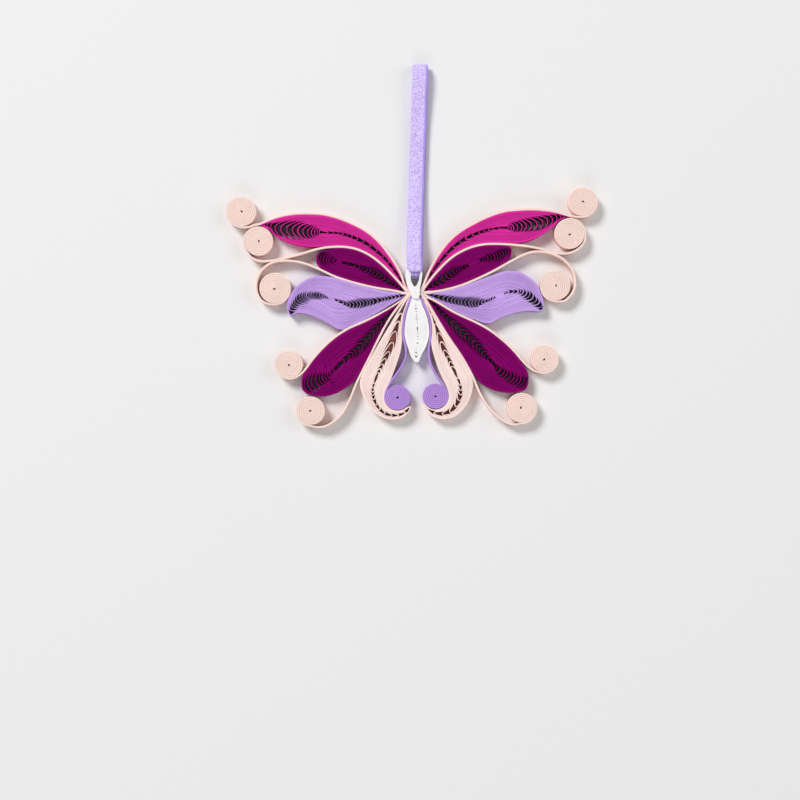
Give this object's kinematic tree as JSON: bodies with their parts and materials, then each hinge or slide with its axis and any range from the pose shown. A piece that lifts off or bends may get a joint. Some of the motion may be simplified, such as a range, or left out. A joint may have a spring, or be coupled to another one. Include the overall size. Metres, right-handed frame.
{
  "type": "quilled paper butterfly",
  "caption": "Hanging ornament in the form of a butterfly, made of coiled and looped paper strips on edge, with a satin ribbon loop through its head.",
  "frame": {"origin": "the middle of the abdomen, on the butterfly's flat back", "axes": "+X to the wing at the right of the picture, +Y to the head and the ribbon, +Z out of the front"},
  "size_m": [0.0966, 0.0949, 0.0044],
  "materials": {
    "white_paper": "matt",
    "pink_paper": "matt",
    "pale_pink_paper": "matt",
    "magenta_paper": "matt",
    "plum_paper": "matt",
    "lilac_paper": "matt",
    "ribbon_satin": "satin"
  },
  "bodies": {
    "root": {"abdomen": "white_paper", "head_loop": "white_paper", "hanging_ribbon": "ribbon_satin", "left_top_scroll": "pink_paper", "left_upper_scroll": "pink_paper", "left_side_scroll": "pink_paper", "left_lower_scroll": "pink_paper", "left_bottom_scroll": "pink_paper", "left_tail_scroll": "lilac_paper", "right_top_scroll": "pink_paper", "right_upper_scroll": "pink_paper", "right_side_scroll": "pink_paper", "right_lower_scroll": "pink_paper", "right_bottom_scroll": "pink_paper", "right_tail_scroll": "lilac_paper", "left_forewing": "magenta_paper", "left_middle_wing": "plum_paper", "left_hindwing": "lilac_paper", "left_lower_wing": "plum_paper", "left_tail_wing": "pale_pink_paper", "right_forewing": "magenta_paper", "right_middle_wing": "plum_paper", "right_hindwing": "lilac_paper", "right_lower_wing": "plum_paper", "right_tail_wing": "pale_pink_paper"}
  },
  "joints": []
}
